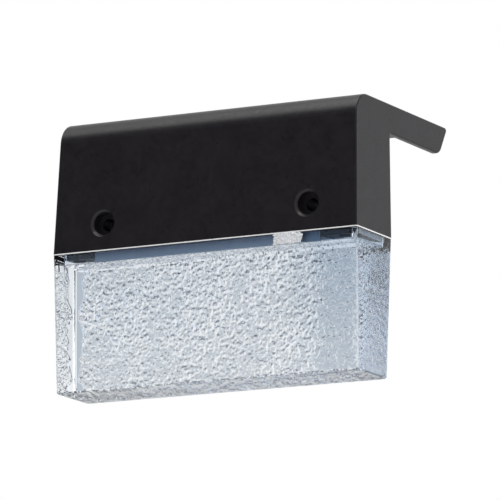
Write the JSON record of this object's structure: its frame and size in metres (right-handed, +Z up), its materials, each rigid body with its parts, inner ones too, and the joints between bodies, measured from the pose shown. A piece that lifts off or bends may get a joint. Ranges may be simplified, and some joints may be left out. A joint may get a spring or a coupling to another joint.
{
  "type": "fence light",
  "caption": "Solar light for a fence rail: black housing with an overhanging lip and a sun panel on top, a clear bubbled block lens below, and a push switch in the back.",
  "frame": {"origin": "midway between the two mounting holes, on the plane of the leg's back that lies against the fence", "axes": "+X along the fence to the light's right end as seen from the front, -Y out of the front, +Z up"},
  "size_m": [0.115, 0.0645, 0.092],
  "materials": {
    "black_shell": "injection-moulded black ABS, satin with a fine spark texture",
    "clear_lens": "clear moulded acrylic block, polished front and ends, hammered back with small bubbles near it",
    "pale_seal": "translucent white silicone",
    "black_seal": "soft black foam rubber",
    "grey_reflector": "slate-grey moulded plastic",
    "led_strip_board": "white solder mask on an aluminium strip",
    "led_package": "white package with a pale phosphor window",
    "panel_clear": "clear encapsulating sheet, glossy",
    "solar_cell": "blue-black crystalline silicon with silver conductor lines",
    "panel_laminate": "dark fibreglass board",
    "bonding_tape": "thin double-sided bonding tape",
    "small_screw": "zinc-plated steel pan-head screws",
    "battery_sleeve": null,
    "plated_contact": "nickel-plated spring steel",
    "circuit_board": "green solder mask on fibreglass",
    "ferrite": "dark grey ferrite core with enamelled winding",
    "capacitor_sleeve": "dark blue shrink sleeve, aluminium top",
    "chip_resin": "black moulding resin",
    "switch_case": "black switch housing",
    "switch_stem": "white switch stem",
    "button_rubber": "dark grey silicone button",
    "red_insulation": "red PVC insulation",
    "black_insulation": "black PVC insulation"
  },
  "bodies": {
    "light": {"housing": "black_shell", "panel_tape": "bonding_tape", "panel_board": "panel_laminate", "solar_cells": "solar_cell", "panel_cover": "panel_clear", "rear_cover": "black_shell", "rear_cover_screws": "small_screw", "cover_gasket": "black_seal", "lens": "clear_lens", "lens_gasket": "pale_seal", "lens_frame": "black_shell", "lens_frame_screws": "small_screw", "led_reflector": "grey_reflector", "led_board": "led_strip_board", "leds": "led_package", "led_board_screws": "small_screw", "battery": "battery_sleeve", "battery_cradle": "black_shell", "cradle_screws": "small_screw", "battery_plus_contact": "plated_contact", "battery_minus_spring": "plated_contact", "control_board": "circuit_board", "board_screws": "small_screw", "charge_choke": "ferrite", "storage_capacitor": "capacitor_sleeve", "controller_chip": "chip_resin", "switch_body": "switch_case", "red_wires": "red_insulation", "black_wires": "black_insulation"},
    "switch": {"switch_plunger": "switch_stem", "switch_button": "button_rubber"}
  },
  "joints": [
    {"name": "switch_press", "type": "slide", "parent": "light", "child": "switch", "axis": [0, -1, 0], "range_m": [0, 0.0015], "stiffness_N_per_m": 400, "springref_m": -0.002}
  ]
}
